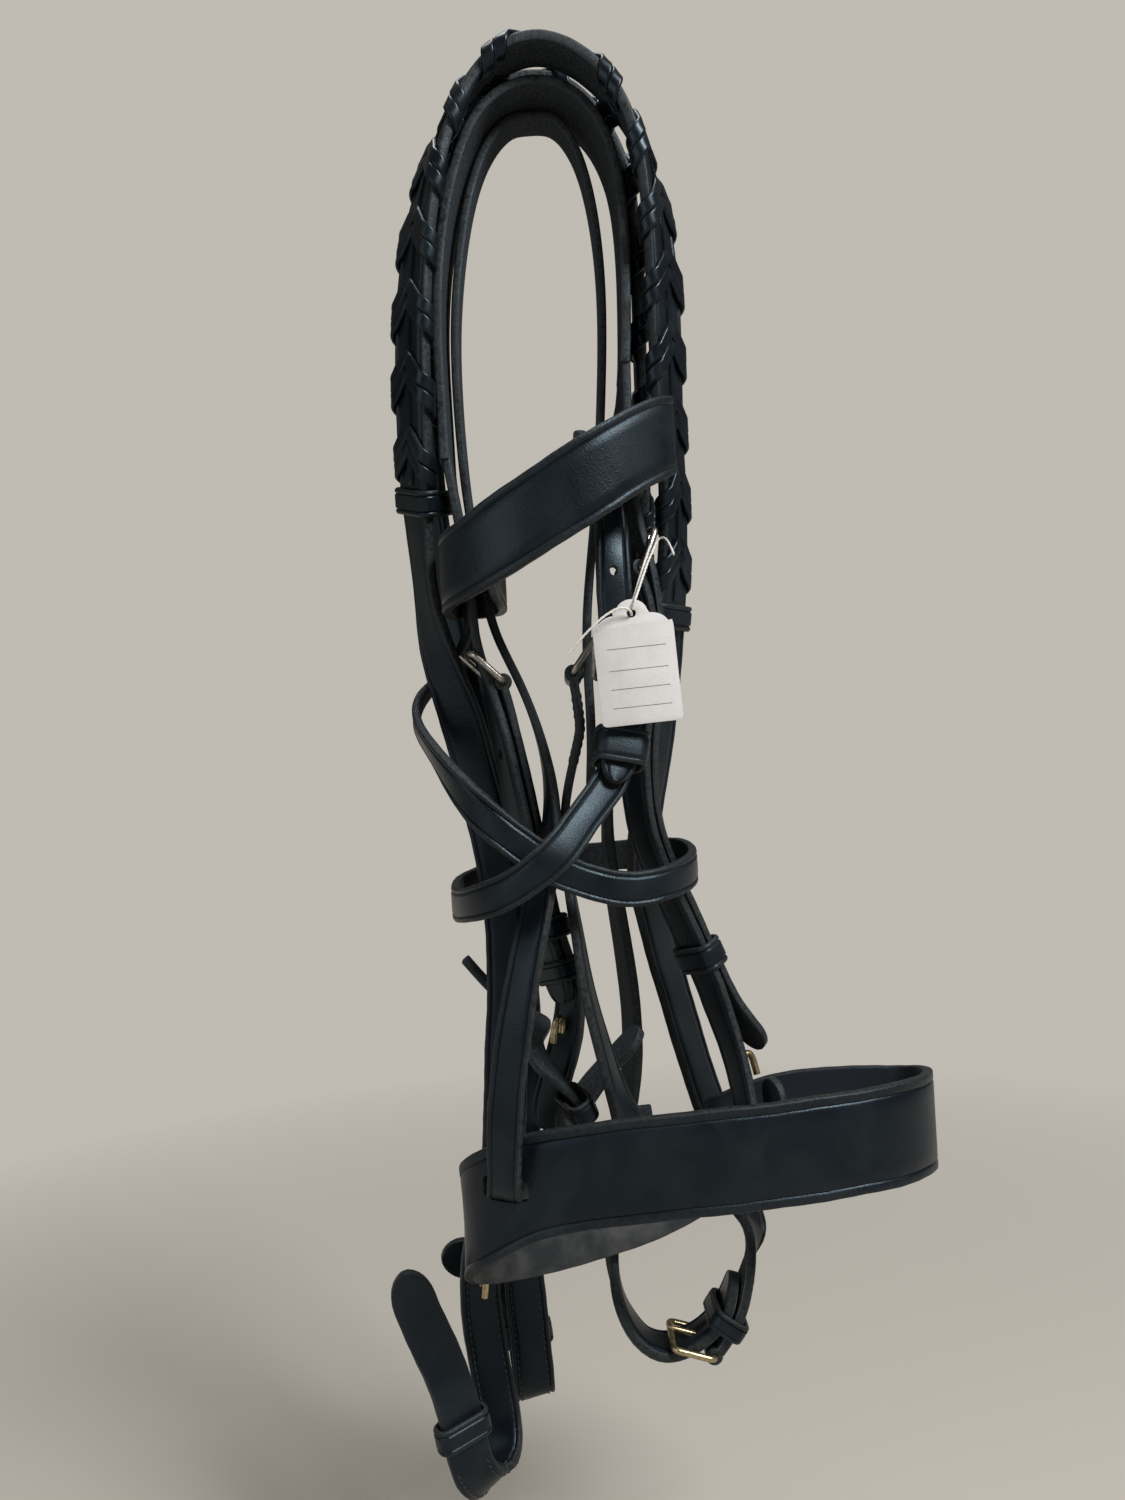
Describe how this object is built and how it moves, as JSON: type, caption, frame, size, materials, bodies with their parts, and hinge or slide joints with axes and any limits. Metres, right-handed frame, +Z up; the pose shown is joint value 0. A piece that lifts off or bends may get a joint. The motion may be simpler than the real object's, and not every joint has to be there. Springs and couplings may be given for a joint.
{
  "type": "hunt bridle",
  "caption": "Flat leather riding bridle with wide noseband, browband, throatlatch, cheek straps, laced reins and buckles, hanging by its crown.",
  "frame": {"origin": "the point under the crown where a hook carries the bridle", "axes": "+Z up along the hanging bridle, -Y towards the browband's front, +X towards the off side"},
  "size_m": [0.1974, 0.114, 0.5193],
  "materials": {
    "black_leather": "satin black leather",
    "black_lace": "satin black lace",
    "nickel": "worn bright nickel",
    "brass": "worn brass",
    "card": "matte white card",
    "thread": "cotton string"
  },
  "bodies": {
    "straps": {"browband": "black_leather", "chin_strap": "black_leather", "crownpiece": "black_leather", "headstrap": "black_leather", "headstrap_buckle": "nickel", "near_cheek_buckle": "nickel", "near_cheek_stud": "brass", "near_cheekpiece": "black_leather", "near_lace_stop_lower": "black_leather", "near_lace_stop_upper": "black_leather", "near_lacing": "black_lace", "near_rein": "black_leather", "near_rein_stud": "brass", "noseband": "black_leather", "noseband_buckle": "nickel", "noseband_hanger": "black_leather", "noseband_point": "black_leather", "off_cheek_buckle": "nickel", "off_cheek_stud": "brass", "off_cheekpiece": "black_leather", "off_lace_stop_lower": "black_leather", "off_lace_stop_upper": "black_leather", "off_lacing": "black_lace", "off_rein": "black_leather", "off_rein_stud": "brass", "rein_buckle": "brass", "tag_string": "thread", "throat_buckle": "nickel", "throatlatch": "black_leather"},
    "near_cheek_buckle_tongue": {"near_cheek_buckle_tongue": "nickel"},
    "off_cheek_buckle_tongue": {"off_cheek_buckle_tongue": "nickel"},
    "headstrap_buckle_tongue": {"headstrap_buckle_tongue": "nickel"},
    "throat_buckle_tongue": {"throat_buckle_tongue": "nickel"},
    "rein_buckle_tongue": {"rein_buckle_tongue": "brass"},
    "noseband_buckle_tongue": {"noseband_buckle_tongue": "nickel"},
    "near_cheek_keeper_upper": {"near_cheek_keeper_upper": "black_leather"},
    "near_cheek_keeper_lower": {"near_cheek_keeper_lower": "black_leather"},
    "off_cheek_keeper": {"off_cheek_keeper": "black_leather"},
    "throat_keeper": {"throat_keeper": "black_leather"},
    "chin_runner": {"chin_runner": "black_leather"},
    "rein_keeper": {"rein_keeper": "black_leather"},
    "near_rein_keeper": {"near_rein_keeper": "black_leather"},
    "off_rein_keeper": {"off_rein_keeper": "black_leather"},
    "noseband_keeper": {"noseband_keeper": "black_leather"},
    "tag": {"tag": "card"}
  },
  "joints": [
    {"name": "near_cheek_tongue_hinge", "type": "hinge", "parent": "straps", "child": "near_cheek_buckle_tongue", "pos_m": [-0.02156, -0.00799, -0.19882], "axis": [0.1949, -0.9804, -0.0272], "range_deg": [0, 20]},
    {"name": "off_cheek_tongue_hinge", "type": "hinge", "parent": "straps", "child": "off_cheek_buckle_tongue", "pos_m": [0.02602, -0.01981, -0.16395], "axis": [-0.4999, 0.8595, -0.1061], "range_deg": [0, 10]},
    {"name": "headstrap_tongue_hinge", "type": "hinge", "parent": "straps", "child": "headstrap_buckle_tongue", "pos_m": [0.00421, -0.01362, -0.19824], "axis": [-0.0022, 0.9939, -0.11], "range_deg": [0, 20]},
    {"name": "throat_tongue_hinge", "type": "hinge", "parent": "straps", "child": "throat_buckle_tongue", "pos_m": [0.01843, -0.03178, -0.20081], "axis": [0.9935, 0.1138, 0.007], "range_deg": [0, 10]},
    {"name": "rein_tongue_hinge", "type": "hinge", "parent": "straps", "child": "rein_buckle_tongue", "pos_m": [0.04047, -0.00399, -0.44092], "axis": [-0.0013, 1, -0.0006], "range_deg": [0, 20]},
    {"name": "noseband_tongue_hinge", "type": "hinge", "parent": "straps", "child": "noseband_buckle_tongue", "pos_m": [0.03832, 0.01411, -0.37976], "axis": [0.4391, -0.1142, -0.8911], "range_deg": [0, 20]},
    {"name": "near_cheek_keeper_upper_slide", "type": "slide", "parent": "straps", "child": "near_cheek_keeper_upper", "axis": [0.2032, -0.0098, -0.9791], "range_m": [-0.002, 0.002]},
    {"name": "near_cheek_keeper_lower_slide", "type": "slide", "parent": "straps", "child": "near_cheek_keeper_lower", "axis": [0.2543, -0.0995, -0.962], "range_m": [-0.002, 0.002]},
    {"name": "off_cheek_keeper_slide", "type": "slide", "parent": "straps", "child": "off_cheek_keeper", "axis": [0.3598, 0.0833, -0.9293], "range_m": [-0.002, 0.002]},
    {"name": "throat_keeper_slide", "type": "slide", "parent": "straps", "child": "throat_keeper", "axis": [-0.1628, -0.2943, -0.9418], "range_m": [-0.002, 0.002]},
    {"name": "chin_runner_slide", "type": "slide", "parent": "straps", "child": "chin_runner", "axis": [0.3022, 0.3916, -0.8691], "range_m": [-0.002, 0.002]},
    {"name": "rein_keeper_slide", "type": "slide", "parent": "straps", "child": "rein_keeper", "axis": [-0.578, -0.0018, -0.816], "range_m": [-0.002, 0.002]},
    {"name": "near_rein_keeper_slide", "type": "slide", "parent": "straps", "child": "near_rein_keeper", "axis": [-0.0147, -0.021, 0.9997], "range_m": [-0.002, 0.002]},
    {"name": "off_rein_keeper_slide", "type": "slide", "parent": "straps", "child": "off_rein_keeper", "axis": [-0.1179, 0.0589, 0.9913], "range_m": [-0.002, 0.002]},
    {"name": "noseband_keeper_slide", "type": "slide", "parent": "straps", "child": "noseband_keeper", "axis": [-0.97, -0.0667, -0.2338], "range_m": [-0.002, 0.002]},
    {"name": "tag_swing", "type": "hinge", "parent": "straps", "child": "tag", "pos_m": [0.0235, -0.047, -0.1805], "axis": [0, 1, 0], "range_deg": [-15, 15]}
  ]
}
